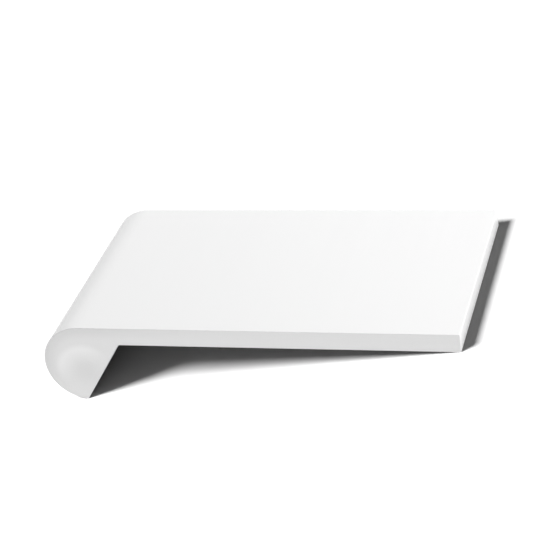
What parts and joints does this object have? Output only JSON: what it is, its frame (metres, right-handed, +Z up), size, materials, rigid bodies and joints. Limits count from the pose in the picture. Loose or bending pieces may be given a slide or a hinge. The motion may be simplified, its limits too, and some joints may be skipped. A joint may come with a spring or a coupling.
{
  "type": "window sill board",
  "caption": "Short sawn length of white window sill board: a thin flat plate with a half-round bullnose hanging along its front edge.",
  "frame": {"origin": "centre of the floor area that the board's box covers, where it lies unheld on a level floor", "axes": "+X across the board from the nose to the rear edge, +Y along the board, +Z up. The board rests on the nose's tip and its lower rear edge, so the plate falls 9.6 degrees towards +X."},
  "size_m": [0.2008, 0.112, 0.0391],
  "materials": {
    "white_pvc": "satin"
  },
  "bodies": {
    "root": {"sill_board": "white_pvc"}
  },
  "joints": []
}
